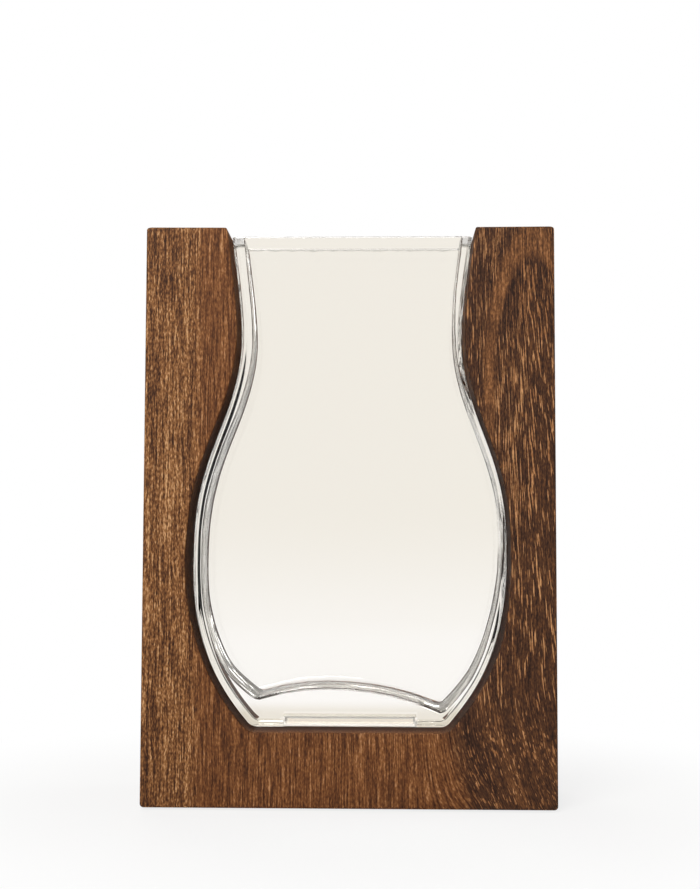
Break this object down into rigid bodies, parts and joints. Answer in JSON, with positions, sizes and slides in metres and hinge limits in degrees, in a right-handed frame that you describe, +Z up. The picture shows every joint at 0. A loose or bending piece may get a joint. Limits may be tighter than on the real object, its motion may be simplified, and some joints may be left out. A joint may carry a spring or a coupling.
{
  "type": "framed vase",
  "caption": "Slim flat clear glass vase with a flared rim, standing on a ledge in a matching cut-out right through a thick upright block of dark wood.",
  "frame": {"origin": "on the ground, under the middle of the block", "axes": "+X to the right as seen from the front, +Y to the back, +Z up"},
  "size_m": [0.216, 0.076, 0.305],
  "materials": {
    "wood": "dark brown, satin, upright figured grain",
    "glass": "clear, thick, slightly wavy",
    "bumper": "clear soft silicone",
    "felt": "dark brown felt"
  },
  "bodies": {
    "frame": {"wood_frame": "wood", "vase_bumper_1": "bumper", "vase_bumper_2": "bumper", "vase_bumper_3": "bumper", "vase_bumper_4": "bumper", "foot_pad_1": "felt", "foot_pad_2": "felt", "foot_pad_3": "felt", "foot_pad_4": "felt"},
    "vase": {"glass_vase": "glass"}
  },
  "joints": [
    {"name": "vase_slide", "type": "slide", "parent": "frame", "child": "vase", "axis": [0, 1, 0], "range_m": [-0.06, 0.06]}
  ]
}
